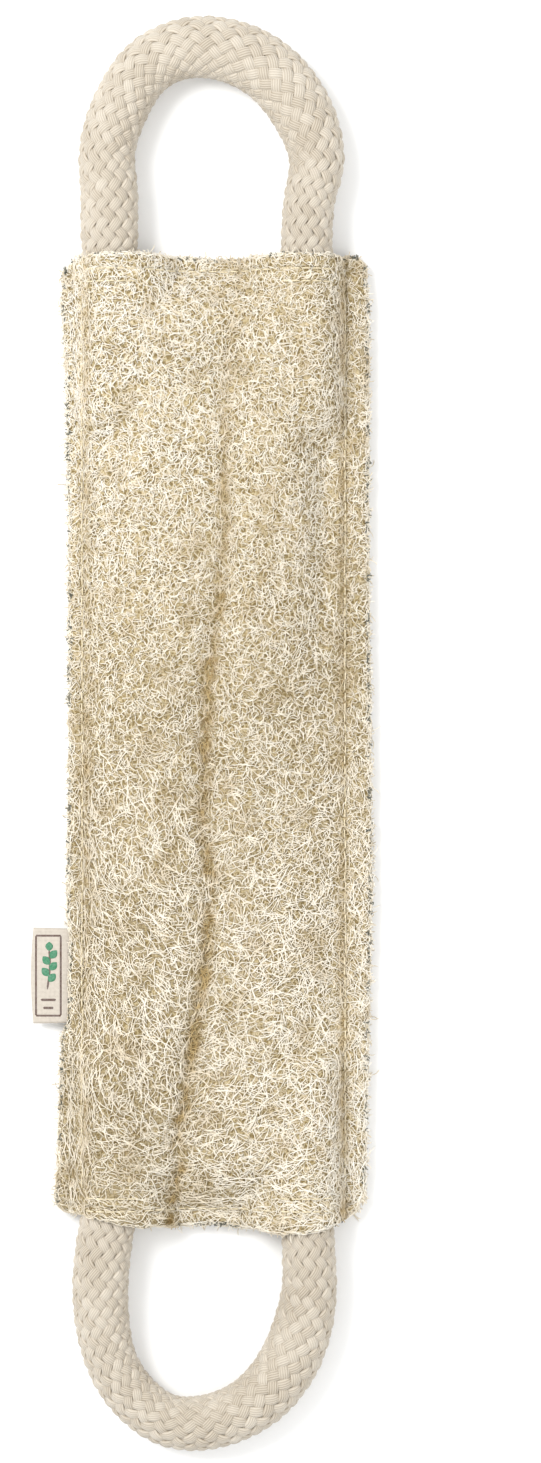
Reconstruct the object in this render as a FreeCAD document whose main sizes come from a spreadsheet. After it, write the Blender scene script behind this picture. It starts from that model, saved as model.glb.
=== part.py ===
import FreeCAD, Part
import math
import os
import re

import Sketcher

# Loofah back scrubber: two loofah panels sewn together, a braided rope loop sewn into each
# end, and a folded label in the left seam. Lengths are millimetres.
# Frame: origin at the centre of the pad's flat back, which rests on a surface.
# +X across the pad, away from the label; +Y along the pad, towards the top handle;
# +Z out of the front.

Vector = FreeCAD.Vector
X_AXIS = Vector(1, 0, 0)
Y_AXIS = Vector(0, 1, 0)
Z_AXIS = Vector(0, 0, 1)

SIZES = {
    # pad outline and the thickness of its two panels
    "pad_long": 310.6,
    "pad_wide": 97.4,
    "corner_radius": 5.0,
    "back_thick": 4.4,
    "margin_thick": 4.0,
    # raised middle of the front panel
    "crown_top": 23.0,
    "crown_left": -42.6,
    "crown_right": 37.0,
    "crown_long": 280.0,
    "crown_round": 8.5,
    # the two humps at each end, over the rope tails
    "hump_radius": 9.1,
    "hump_centre": 13.6,
    "hump_foot": 6.0,
    "hump_long": 48.0,
    # rope loops
    "rope_radius": 9.0,
    "core_radius": 5.0,
    "core_gap": 0.1,
    "ball_radius": 9.2,
    "rope_height": 12.0,
    # rope tails inside the pad, squeezed a little by the panels
    "tail_left_x": -34.2,
    "tail_right_x": 28.5,
    "tail_radius": 7.5,
    "tail_gap": 0.15,
    "tail_long": 42.0,
    "tail_proud": 0.9,
    "tail_core_radius": 4.2,
    "neck_radius": 6.4,
    "neck_start": 4.0,
    "neck_long": 9.0,
    "whipping_gap": 0.05,
    # sewing thread
    "thread_radius": 0.45,
    "thread_gap": 0.05,
    "seam_left_x": -44.0,
    "seam_right_x": 40.7,
    "side_seam_long": 288.0,
    "end_seam_in": 4.3,
    "tack_step": 4.0,
    # side label
    "label_long": 30.5,
    "label_y": -76.1,
    "label_thick": 1.2,
    "label_height": 5.05,
    "label_hinge_x": -49.8,
    "label_out": 10.2,
    "label_in": 7.0,
    "label_recess": 1.3,
    "label_side_gap": 0.2,
}

# Rope routes: corner points of each loop's centre line, from its left hinge point to its
# right one. They lie a little outside the bends, because each corner is rounded inwards.
TOP_ROUTE = [
    (-35.2, 166.0, 12.0), (-35.0, 176.5, 11.4), (-36.6, 189.5, 10.5), (-32.1, 203.8, 9.8),
    (-23.8, 217.6, 9.4), (-9.9, 223.8, 9.3), (5.0, 222.2, 9.3), (18.0, 215.0, 9.4),
    (27.8, 201.8, 9.8), (32.6, 187.0, 10.5), (29.2, 175.0, 11.4), (28.5, 166.0, 12.0),
]
BOTTOM_ROUTE = [
    (-37.4, -166.0, 12.0), (-38.2, -176.0, 11.4), (-37.6, -188.5, 10.5),
    (-34.4, -202.0, 9.8), (-26.4, -213.2, 9.4), (-15.6, -220.4, 9.3), (-1.0, -219.9, 9.3),
    (13.0, -213.2, 9.4), (22.7, -201.2, 9.8), (27.6, -187.8, 10.5), (29.5, -175.5, 11.4),
    (29.0, -166.0, 12.0),
]
# Each corner's arc starts this share of the shorter run away from the corner.
ARC_SHARE = 0.45

# Expressions that several pieces share.
PAD_END = "pad_long / 2"
PAD_SIDE = "pad_wide / 2"
THREAD_SEAT = "thread_radius + thread_gap"
SEAM_Y = f"({PAD_END} - end_seam_in)"
TACK_Y = f"({SEAM_Y} - tack_step)"
MARGIN_TOP = "back_thick + margin_thick"

doc = FreeCAD.newDocument("loofah_back_scrubber")
sheet = doc.addObject("Spreadsheet::Sheet", "Sizes")
for row, (alias, value) in enumerate(SIZES.items(), start=1):
    sheet.set(f"A{row}", alias)
    sheet.set(f"B{row}", str(value))
    sheet.setAlias(f"B{row}", alias)
doc.recompute()

sub_parts = []


def named(expression):
    """The expression with the sheet's name put before each of its aliases."""
    def with_sheet(match):
        word = match.group()
        return f"Sizes.{word}" if word in SIZES else word
    return re.sub("[a-z_]+", with_sheet, expression)


def size(expression):
    """The value of an expression on the sheet's aliases, in millimetres."""
    value = sheet.evalExpression(named(expression))
    return float(getattr(value, "Value", value))


def bind(target, **properties):
    """Bind an object's properties to expressions; a double underscore is a dot."""
    for name, expression in properties.items():
        target.setExpression(name.replace("__", "."), named(expression))
    return target


def keep(target, label):
    """Count an object as a sub-part, under the name that its file takes."""
    target.Label = label
    sub_parts.append(target)


# ---- sketches and features ---------------------------------------------------------------

def origin_plane(body, role):
    return next(plane for plane in body.Origin.OriginFeatures if plane.Role == role)


def new_sketch(body, name, plane_role, offset="0"):
    """A sketch on one of its body's origin planes, moved along the plane's normal."""
    sketch = body.newObject("Sketcher::SketchObject", name)
    sketch.AttachmentSupport = [(origin_plane(body, plane_role), "")]
    sketch.MapMode = "FlatFace"
    return bind(sketch, AttachmentOffset__Base__z=offset)


def hold(sketch, kind, geometry, point, name, expression):
    """Fix one coordinate of a sketch point, counted from the sketch's origin."""
    rule = Sketcher.Constraint(kind, -1, 1, geometry, point, size(expression))
    sketch.renameConstraint(sketch.addConstraint(rule), name)
    sketch.setExpression(f"Constraints.{name}", named(expression))


def add_outline(sketch, tag, corners):
    """A closed outline of straight lines through corners given as expressions."""
    points = [Vector(size(x), size(y), 0) for x, y in corners]
    count = len(points)
    first = sketch.GeometryCount
    for i in range(count):
        sketch.addGeometry(Part.LineSegment(points[i], points[(i + 1) % count]), False)
    for i in range(count):
        following = first + (i + 1) % count
        sketch.addConstraint(Sketcher.Constraint("Coincident", first + i, 2, following, 1))
    for i, (x, y) in enumerate(corners):
        hold(sketch, "DistanceX", first + i, 1, f"{tag}_across_{i}", x)
        hold(sketch, "DistanceY", first + i, 1, f"{tag}_along_{i}", y)


def add_rectangle(sketch, tag, x_low, x_high, y_low, y_high):
    add_outline(sketch, tag, [(x_low, y_low), (x_high, y_low), (x_high, y_high), (x_low, y_high)])


def add_circle(sketch, tag, x, y, radius):
    circle = Part.Circle(Vector(size(x), size(y), 0), Z_AXIS, size(radius))
    index = sketch.addGeometry(circle, False)
    hold(sketch, "DistanceX", index, 3, f"{tag}_across", x)
    hold(sketch, "DistanceY", index, 3, f"{tag}_along", y)
    rule = Sketcher.Constraint("Radius", index, size(radius))
    sketch.renameConstraint(sketch.addConstraint(rule), f"{tag}_radius")
    sketch.setExpression(f"Constraints.{tag}_radius", named(radius))


def require_change(body, name, before, grows):
    """Stop if a feature did not add or take away material as it should."""
    doc.recompute()
    change = body.Shape.Volume - before
    if (change > 0) != grows or abs(change) < 1.0:
        raise RuntimeError(f"{name} changed the volume by {change:.2f} mm3")


def extrude(body, kind, name, sketch, length, flip=False):
    """A Pad or a Pocket; flip turns its direction round."""
    before = body.Shape.Volume if body.Tip else 0.0
    feature = body.newObject(f"PartDesign::{kind}", name)
    feature.Profile = sketch
    feature.Reversed = flip
    bind(feature, Length=length)
    require_change(body, name, before, grows=(kind == "Pad"))
    return feature


def mirror_ends(body, name, features, grows):
    """Repeat features of the top end at the bottom end."""
    before = body.Shape.Volume
    mirrored = body.newObject("PartDesign::Mirrored", name)
    mirrored.Originals = features
    mirrored.MirrorPlane = (origin_plane(body, "XZ_Plane"), [""])
    body.Tip = mirrored
    require_change(body, name, before, grows)


def fillet(body, name, radius, chosen):
    """Round the body's edges for which chosen(edge) is true."""
    base = body.Tip
    names = [f"Edge{i}" for i, edge in enumerate(base.Shape.Edges, start=1) if chosen(edge)]
    feature = body.newObject("PartDesign::Fillet", name)
    feature.Base = (base, names)
    bind(feature, Radius=radius)
    doc.recompute()


def runs_along(edge, axis):
    """Whether an edge is straight and parallel to an axis."""
    start, end = edge.firstVertex().Point, edge.lastVertex().Point
    run = end - start
    return run.Length > 1e-6 and abs(run.normalize().dot(axis)) > 0.999


# ---- solids from primitives --------------------------------------------------------------

def place(target, x, y, z):
    return bind(target, Placement__Base__x=x, Placement__Base__y=y, Placement__Base__z=z)


def rod(name, radius, length, x, y, z, direction):
    """A cylinder that starts at a point and runs along a direction."""
    solid = doc.addObject("Part::Cylinder", name)
    solid.Placement.Rotation = FreeCAD.Rotation(Z_AXIS, direction)
    bind(solid, Radius=radius, Height=length)
    return place(solid, x, y, z)


def cut(name, base, tool):
    result = doc.addObject("Part::Cut", name)
    result.Base = base
    result.Tool = tool
    return result


def tube(name, path, radius):
    """A round solid swept along a path object, from the path's first point."""
    first_edge = path.Shape.OrderedEdges[0]
    start = path.Shape.OrderedVertexes[0].Point
    heading = first_edge.tangentAt(first_edge.FirstParameter)
    section = doc.addObject("Part::Circle", f"{name}_section")
    section.Placement = FreeCAD.Placement(start, FreeCAD.Rotation(Z_AXIS, heading))
    bind(section, Radius=radius)
    swept = doc.addObject("Part::Sweep", name)
    swept.Sections = [section]
    swept.Spine = (path, [f"Edge{i}" for i in range(1, len(path.Shape.Edges) + 1)])
    swept.Solid = True
    swept.Frenet = False
    return swept


def rope_path(name, corners):
    """Straight runs joined by tangent arcs, each as large as its two runs allow."""
    points = [Vector(*corner) for corner in corners]
    edges = []
    radii = []
    last = points[0]
    for before, corner, after in zip(points, points[1:], points[2:]):
        back = before - corner
        ahead = after - corner
        reach = ARC_SHARE * min(back.Length, ahead.Length)
        back.normalize()
        ahead.normalize()
        start = corner + back * reach
        end = corner + ahead * reach
        middle_way = (back + ahead).normalize()
        half_opening = back.getAngle(ahead) / 2
        radius = reach * math.tan(half_opening)
        centre_out = reach / math.cos(half_opening)
        middle = corner + middle_way * (centre_out - radius)
        edges.append(Part.LineSegment(last, start).toShape())
        edges.append(Part.Arc(start, middle, end).toShape())
        radii.append(radius)
        last = end
    edges.append(Part.LineSegment(last, points[-1]).toShape())
    path = doc.addObject("Part::Feature", name)
    path.Shape = Part.Wire(edges)
    print(f"{name}: {path.Shape.Length:.1f} mm long, arc radii",
          " ".join(f"{radius:.0f}" for radius in radii))
    return path


# ---- the two loofah panels ---------------------------------------------------------------

def build_back_panel():
    """The flat back mat, with shallow grooves where the bobbin threads lie."""
    body = doc.addObject("PartDesign::Body", "back_panel")
    outline = new_sketch(body, "back_outline", "XY_Plane")
    add_rectangle(outline, "pad", f"-{PAD_SIDE}", PAD_SIDE, f"-{PAD_END}", PAD_END)
    extrude(body, "Pad", "back_mat", outline, "back_thick")
    fillet(body, "back_corners", "corner_radius", lambda edge: runs_along(edge, Z_AXIS))

    sides = new_sketch(body, "side_groove_lines", "XY_Plane")
    for side in ("left", "right"):
        x = f"seam_{side}_x"
        add_rectangle(sides, side, f"{x} - ({THREAD_SEAT})", f"{x} + {THREAD_SEAT}",
                      "-side_seam_long / 2", "side_seam_long / 2")
    groove_deep = f"2 * ({THREAD_SEAT})"
    extrude(body, "Pocket", "side_grooves", sides, groove_deep, flip=True)

    ends = new_sketch(body, "end_groove_lines", "XY_Plane")
    left_edge = "tail_left_x - hump_radius"
    right_edge = "tail_right_x + hump_radius"
    add_rectangle(ends, "seam", left_edge, right_edge,
                  f"{SEAM_Y} - ({THREAD_SEAT})", f"{SEAM_Y} + {THREAD_SEAT}")
    for side in ("left", "right"):
        x = f"tail_{side}_x"
        add_rectangle(ends, f"{side}_tack", f"{x} - hump_radius", f"{x} + hump_radius",
                      f"{TACK_Y} - ({THREAD_SEAT})", f"{TACK_Y} + {THREAD_SEAT}")
    top_grooves = extrude(body, "Pocket", "top_grooves", ends, groove_deep, flip=True)
    mirror_ends(body, "bottom_grooves", [top_grooves], grows=False)
    keep(body, "back_loofah_panel")


def build_front_panel():
    """The front mat: a thin sewn margin, a raised middle and a hump over each rope tail."""
    body = doc.addObject("PartDesign::Body", "front_panel")
    outline = new_sketch(body, "front_outline", "XY_Plane", "back_thick")
    add_rectangle(outline, "pad", f"-{PAD_SIDE}", PAD_SIDE, f"-{PAD_END}", PAD_END)
    extrude(body, "Pad", "front_margin", outline, "margin_thick")
    fillet(body, "front_corners", "corner_radius", lambda edge: runs_along(edge, Z_AXIS))

    crown = new_sketch(body, "crown_outline", "XY_Plane", MARGIN_TOP)
    add_rectangle(crown, "crown", "crown_left", "crown_right",
                  "-crown_long / 2", "crown_long / 2")
    extrude(body, "Pad", "crown", crown, f"crown_top - ({MARGIN_TOP})")
    crown_top = size("crown_top")
    margin_top = size(MARGIN_TOP)

    def on_crown(edge):
        lowest = edge.BoundBox.ZMin
        rim = abs(lowest - crown_top) < 1e-6
        corner = runs_along(edge, Z_AXIS) and abs(lowest - margin_top) < 1e-6
        return rim or corner
    fillet(body, "crown_edges", "crown_round", on_crown)

    # Sketches on the XZ plane face -Y, so the top end is a negative offset away, and a Pad
    # runs from it into the pad.
    top_end = f"-{PAD_END}"
    walls = new_sketch(body, "hump_walls_outline", "XZ_Plane", top_end)
    rounds = new_sketch(body, "hump_rounds_outline", "XZ_Plane", top_end)
    bores = new_sketch(body, "tail_bores_outline", "XZ_Plane", top_end)
    for side in ("left", "right"):
        x = f"tail_{side}_x"
        add_rectangle(walls, side, f"{x} - hump_radius", f"{x} + hump_radius",
                      "hump_foot", "hump_centre")
        add_circle(rounds, side, x, "hump_centre", "hump_radius")
        add_circle(bores, side, x, "rope_height", "tail_radius + tail_gap")
    hump_walls = extrude(body, "Pad", "hump_walls", walls, "hump_long")
    hump_rounds = extrude(body, "Pad", "hump_rounds", rounds, "hump_long")
    mirror_ends(body, "bottom_humps", [hump_walls, hump_rounds], grows=True)
    top_bores = extrude(body, "Pocket", "top_tail_bores", bores, "tail_long", flip=True)
    mirror_ends(body, "bottom_tail_bores", [top_bores], grows=False)

    recess = new_sketch(body, "label_recess_outline", "XY_Plane", "back_thick")
    half_recess = "(label_long / 2 + label_side_gap)"
    add_rectangle(recess, "label", f"-{PAD_SIDE} - 1", f"-{PAD_SIDE} + label_in",
                  f"label_y - {half_recess}", f"label_y + {half_recess}")
    extrude(body, "Pocket", "label_recess", recess, "label_recess", flip=True)
    keep(body, "front_loofah_panel")


# ---- the ropes ---------------------------------------------------------------------------

def build_loop(end, corners):
    """One handle's loop: a round braided sheath with ball ends on the swing axis, and the
    bundle of filler yarns inside it."""
    path = rope_path(f"{end}_rope_route", corners)
    braid = tube(f"{end}_braid_outside", path, "rope_radius")
    channel = tube(f"{end}_core_channel", path, "core_radius + core_gap")
    solids = [braid]
    for side, corner in (("left", corners[0]), ("right", corners[-1])):
        ball = doc.addObject("Part::Sphere", f"{end}_{side}_ball")
        bind(ball, Radius="ball_radius")
        ball.Placement.Base = Vector(*corner)
        solids.append(ball)
    outside = doc.addObject("Part::MultiFuse", f"{end}_loop_outside")
    outside.Shapes = solids
    keep(cut(f"{end}_loop", outside, channel), f"{end}_rope_sheath")
    core = tube(f"{end}_filler", path, "core_radius")
    keep(core, f"{end}_rope_core")
    doc.recompute()
    expected = size("core_radius") ** 2 * math.pi * path.Shape.Length
    if abs(core.Shape.Volume / expected - 1) > 0.01:
        raise RuntimeError(f"{end} rope core has volume {core.Shape.Volume:.0f} mm3")


def build_tail(end, side):
    """One sewn-in end of a rope: sheath, core, and the whipping bound round its neck."""
    name = f"{end}_{side}"
    x = f"tail_{side}_x"
    inner_end = f"({PAD_END} + tail_proud - tail_long)"
    sign = 1 if end == "top" else -1
    way = Y_AXIS * sign

    def along(distance):
        return f"{sign} * ({inner_end} + {distance})"

    body = doc.addObject("PartDesign::Body", f"{name}_tail")
    profile = new_sketch(body, f"{name}_tail_profile", "XY_Plane")
    bore = "tail_core_radius + core_gap"
    neck_end = "neck_start + neck_long"
    add_outline(profile, "tail", [
        (bore, "0"), ("tail_radius", "0"), ("tail_radius", "neck_start"),
        ("neck_radius", "neck_start"), ("neck_radius", neck_end),
        ("tail_radius", neck_end), ("tail_radius", "tail_long"), (bore, "tail_long")])
    turned = body.newObject("PartDesign::Revolution", f"{name}_tail_turned")
    turned.Profile = profile
    turned.ReferenceAxis = (profile, ["V_Axis"])
    turned.Angle = 360
    body.Placement.Rotation = FreeCAD.Rotation(Z_AXIS, 0 if end == "top" else 180)
    keep(place(body, x, along("0"), "rope_height"), f"{name}_tail_sheath")

    core = rod(f"{name}_tail_filler", "tail_core_radius", "tail_long",
               x, along("0"), "rope_height", way)
    keep(core, f"{name}_tail_core")

    ring = ("neck_long - 2 * whipping_gap", x, along("neck_start + whipping_gap"),
            "rope_height", way)
    outside = rod(f"{name}_whipping_outside", "tail_radius - whipping_gap", *ring)
    inside = rod(f"{name}_whipping_inside", "neck_radius + whipping_gap", *ring)
    keep(cut(f"{name}_binding", outside, inside), f"{name}_whipping")


# ---- sewing thread -----------------------------------------------------------------------

def build_side_seam(side):
    """A straight lockstitch seam: needle thread on the front, bobbin thread on the back."""
    x = f"seam_{side}_x"
    heights = {"needle": f"{MARGIN_TOP} + {THREAD_SEAT}", "bobbin": THREAD_SEAT}
    for thread, z in heights.items():
        line = rod(f"{side}_{thread}", "thread_radius", "side_seam_long - 2 * thread_gap",
                   x, "-side_seam_long / 2 + thread_gap", z, Y_AXIS)
        keep(line, f"{side}_seam_{thread}_thread")


def build_end_seam(end):
    """The seam across one end of the pad, between its two rope tails."""
    sign = "" if end == "top" else "-"
    clear = f"(hump_radius + 3 * ({THREAD_SEAT}))"
    heights = {"needle": f"{MARGIN_TOP} + {THREAD_SEAT}", "bobbin": THREAD_SEAT}
    for thread, z in heights.items():
        line = rod(f"{end}_{thread}", "thread_radius",
                   f"tail_right_x - tail_left_x - 2 * {clear}",
                   f"tail_left_x + {clear}", f"{sign}{SEAM_Y}", z, X_AXIS)
        keep(line, f"{end}_seam_{thread}_thread")


def build_tack(end, side):
    """Two rows of stitches over one rope tail: arched on the front, straight behind."""
    name = f"{end}_{side}_tack"
    sign = "" if end == "top" else "-"
    x = f"tail_{side}_x"
    over = size(f"hump_radius + {THREAD_SEAT}")
    middle_x = size(x)
    foot_z = size(f"{MARGIN_TOP} + thread_gap")
    spring_z = size("hump_centre")
    threads = []
    for row, y in enumerate((f"{sign}{SEAM_Y}", f"{sign}{TACK_Y}")):
        row_y = size(y)
        left_foot = Vector(middle_x - over, row_y, foot_z)
        left_spring = Vector(middle_x - over, row_y, spring_z)
        summit = Vector(middle_x, row_y, spring_z + over)
        right_spring = Vector(middle_x + over, row_y, spring_z)
        right_foot = Vector(middle_x + over, row_y, foot_z)
        path = doc.addObject("Part::Feature", f"{name}_route_{row}")
        path.Shape = Part.Wire([
            Part.LineSegment(left_foot, left_spring).toShape(),
            Part.Arc(left_spring, summit, right_spring).toShape(),
            Part.LineSegment(right_spring, right_foot).toShape()])
        threads.append(tube(f"{name}_front_{row}", path, "thread_radius"))
        threads.append(rod(f"{name}_back_{row}", "thread_radius",
                           "2 * (hump_radius - thread_gap)",
                           f"{x} - hump_radius + thread_gap", y, THREAD_SEAT, X_AXIS))
    tack = doc.addObject("Part::Compound", name)
    tack.Links = threads
    keep(tack, f"{end}_{side}_rope_tack")


# ---- the label ---------------------------------------------------------------------------

def build_label():
    """A folded canvas tag: the loop that stands out, and the two ends in the side seam."""
    body = doc.addObject("PartDesign::Body", "label_loop")
    outline = new_sketch(body, "label_outline", "XY_Plane", "label_height - label_thick / 2")
    half_thick = "label_thick / 2"
    half_long = "label_long / 2"
    add_rectangle(outline, "label", "label_hinge_x - label_out",
                  f"label_hinge_x + {half_thick}",
                  f"label_y - {half_long}", f"label_y + {half_long}")
    extrude(body, "Pad", "label_leaf", outline, "label_thick")
    fillet(body, "label_folds", "label_thick / 2.1", lambda edge: runs_along(edge, Y_AXIS))
    keep(body, "label_flap")

    sewn_in = doc.addObject("Part::Box", "label_sewn_in")
    bind(sewn_in, Length="label_in - label_side_gap", Width="label_long", Height="label_thick")
    place(sewn_in, f"-{PAD_SIDE}", f"label_y - {half_long}", f"label_height - {half_thick}")
    keep(sewn_in, "label_tail")


def check_and_export():
    """Stop on any failed object, then write one file for each sub-part."""
    doc.recompute()
    for item in doc.Objects:
        if "Invalid" in item.State or "Error" in item.State:
            raise RuntimeError(f"{item.Label} failed: {item.State}")
    for item in sub_parts:
        if item.Shape.isNull() or not item.Shape.isValid():
            raise RuntimeError(f"{item.Label} has no valid shape")
    os.makedirs("parts", exist_ok=True)
    for item in sub_parts:
        item.Shape.exportStep(f"parts/{item.Label}.step")
        print(f"{item.Label}: {item.Shape.Volume:.1f} mm3, {len(item.Shape.Solids)} solid(s)")


build_back_panel()
build_front_panel()
for end_name, route in (("top", TOP_ROUTE), ("bottom", BOTTOM_ROUTE)):
    build_loop(end_name, route)
    build_end_seam(end_name)
    for side_name in ("left", "right"):
        build_tail(end_name, side_name)
        build_tack(end_name, side_name)
for side_name in ("left", "right"):
    build_side_seam(side_name)
build_label()
check_and_export()
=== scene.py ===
"""Loofah back scrubber: a sewn pad of two loofah mats, two braided rope loops and a label.

The frame has +X across the pad, +Y towards the top handle and +Z out of the front. Shapes
are worked out in millimetres, and new_mesh turns them into metres. Elsewhere a length in
millimetres is multiplied by MM.
"""
import math

import bpy
import numpy as np
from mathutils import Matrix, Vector
from mathutils.bvhtree import BVHTree


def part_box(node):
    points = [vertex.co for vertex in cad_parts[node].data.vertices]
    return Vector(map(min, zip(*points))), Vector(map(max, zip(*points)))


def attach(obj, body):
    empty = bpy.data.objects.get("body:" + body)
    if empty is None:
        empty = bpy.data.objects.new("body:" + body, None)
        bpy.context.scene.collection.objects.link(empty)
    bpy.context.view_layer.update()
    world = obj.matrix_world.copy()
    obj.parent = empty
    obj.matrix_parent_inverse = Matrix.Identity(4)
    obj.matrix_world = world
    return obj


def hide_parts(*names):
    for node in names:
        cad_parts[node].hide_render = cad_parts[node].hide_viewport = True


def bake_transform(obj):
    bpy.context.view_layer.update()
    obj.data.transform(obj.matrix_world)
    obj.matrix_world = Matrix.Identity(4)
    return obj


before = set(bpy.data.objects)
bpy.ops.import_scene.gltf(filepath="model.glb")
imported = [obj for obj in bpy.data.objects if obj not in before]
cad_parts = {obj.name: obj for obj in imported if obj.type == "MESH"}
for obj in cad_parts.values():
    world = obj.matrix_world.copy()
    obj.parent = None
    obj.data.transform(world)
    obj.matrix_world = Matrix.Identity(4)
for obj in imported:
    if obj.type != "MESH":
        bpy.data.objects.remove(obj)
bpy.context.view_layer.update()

MM = 0.001
ENDS = ("top", "bottom")
SIDES = ("left", "right")
TAILS = [f"{end}_{side}" for end in ENDS for side in SIDES]
rng = np.random.default_rng(11)


def box_mm(node):
    """A CAD node's lowest and highest corners, in millimetres."""
    low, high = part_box(node)
    return np.array(low) / MM, np.array(high) / MM


HALF_X, HALF_Y = box_mm("front_loofah_panel")[1][:2]
BACK_TOP = box_mm("back_loofah_panel")[1][2]
SEAM_X = [sum(box_mm(f"{side}_seam_needle_thread"))[0] / 2 for side in SIDES]
END_SEAM_Y = sum(box_mm("top_seam_needle_thread"))[1] / 2
TAIL_X = [sum(box_mm(f"top_{side}_tail_sheath"))[0] / 2 for side in SIDES]
LABEL_LOW, LABEL_HIGH = box_mm("label_flap")


# ---- mesh helpers ------------------------------------------------------------------------

def new_object(name, data, mat=None):
    """Link a mesh, camera or lamp. A mesh may have a material."""
    thing = bpy.data.objects.new(name, data)
    bpy.context.scene.collection.objects.link(thing)
    if mat is not None:
        data.materials.append(mat)
    return thing


def pad_piece(name, mesh, mat, slot, *nodes):
    """A piece that moves with the pad, shown in place of the named CAD nodes."""
    piece = new_object(name, mesh, mat)
    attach(piece, "pad")
    if nodes:
        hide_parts(*nodes)
    return piece


def new_mesh(name, points, quads, triangles=(), **attributes):
    """A mesh from arrays: points in millimetres, faces, and float values for each point."""
    mesh = bpy.data.meshes.new(name)
    quads = np.asarray(quads, int).reshape(-1, 4)
    triangles = np.asarray(triangles, int).reshape(-1, 3)
    loops = np.concatenate([quads.ravel(), triangles.ravel()])
    totals = np.concatenate([np.full(len(quads), 4), np.full(len(triangles), 3)])
    starts = np.concatenate([[0], np.cumsum(totals)[:-1]])
    mesh.vertices.add(len(points))
    mesh.vertices.foreach_set("co", (np.asarray(points, float) * MM).ravel())
    mesh.loops.add(len(loops))
    mesh.loops.foreach_set("vertex_index", loops)
    mesh.polygons.add(len(totals))
    mesh.polygons.foreach_set("loop_start", starts)
    mesh.polygons.foreach_set("use_smooth", np.full(len(totals), True))
    for key, values in attributes.items():
        layer = mesh.attributes.new(key, "FLOAT", "POINT")
        layer.data.foreach_set("value", np.asarray(values, float).ravel())
    mesh.update(calc_edges=True)
    mesh.validate()
    return mesh


def points_of(mesh):
    """A mesh's points in millimetres."""
    points = np.empty(len(mesh.vertices) * 3)
    mesh.vertices.foreach_get("co", points)
    return points.reshape(-1, 3) / MM


def unit(vectors):
    return vectors / np.maximum(np.linalg.norm(vectors, axis=-1, keepdims=True), 1e-9)


def smooth_step(value):
    value = np.clip(value, 0.0, 1.0)
    return value * value * (3.0 - 2.0 * value)


def corner_angles(corners):
    return 2 * math.pi * np.arange(corners) / corners


def ellipses(line, side, upward, half_wide, half_high, angle):
    """Points on ellipses round the points of a line, at angles from its side direction."""
    return (line + side * (half_wide * np.cos(angle))[..., None]
            + upward * (half_high * np.sin(angle))[..., None])


def grid_quads(index):
    """Faces between the neighbours in a grid of point numbers."""
    corners = [index[:-1, :-1], index[:-1, 1:], index[1:, 1:], index[1:, :-1]]
    return np.stack(corners, -1).reshape(-1, 4)


def ring_tubes(name, rings, ends, **attributes):
    """Closed tubes through rings of points, (count, rows, corners, 3), and two end points.

    An attribute has one value for each point, with those of the two ends last.
    """
    count, rows, corners, _ = rings.shape
    points = np.concatenate([rings.reshape(count, -1, 3), ends], 1)
    index = np.arange(rows * corners).reshape(rows, corners)
    after = np.roll(index, -1, axis=1)
    walls = np.stack([index[:-1], after[:-1], after[1:], index[1:]], -1).reshape(-1, 4)
    tip = np.full(corners, rows * corners)
    caps = np.concatenate([np.stack([tip, after[0], index[0]], 1),
                           np.stack([tip + 1, index[-1], after[-1]], 1)])
    shift = (np.arange(count) * points.shape[1])[:, None, None]
    values = {key: np.broadcast_to(value, points.shape[:2])
              for key, value in attributes.items()}
    return new_mesh(name, points.reshape(-1, 3), walls + shift, caps + shift, **values)


def tubes(name, lines, radius, sides, **attributes):
    """Closed tubes with pointed ends, one along each line: lines is (count, points, 3)."""
    lines = np.asarray(lines, float)
    along = unit(np.gradient(lines, axis=1))
    across = unit(np.cross(along, [0.02, 0.03, 1.0]))
    upward = np.cross(across, along)
    angles = math.pi / 2 - corner_angles(sides)
    radius = np.broadcast_to(radius, lines.shape[:2])[..., None]
    rings = ellipses(lines[:, :, None], across[:, :, None], upward[:, :, None], radius, radius,
                     angles)
    values = {}
    for key, value in attributes.items():
        value = np.broadcast_to(value, lines.shape[:2])
        values[key] = np.concatenate([np.repeat(value[:, 1:-1], sides, axis=1),
                                      value[:, [0, -1]]], 1)
    return ring_tubes(name, rings[:, 1:-1], lines[:, [0, -1]], **values)


# ---- materials ---------------------------------------------------------------------------

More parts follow.
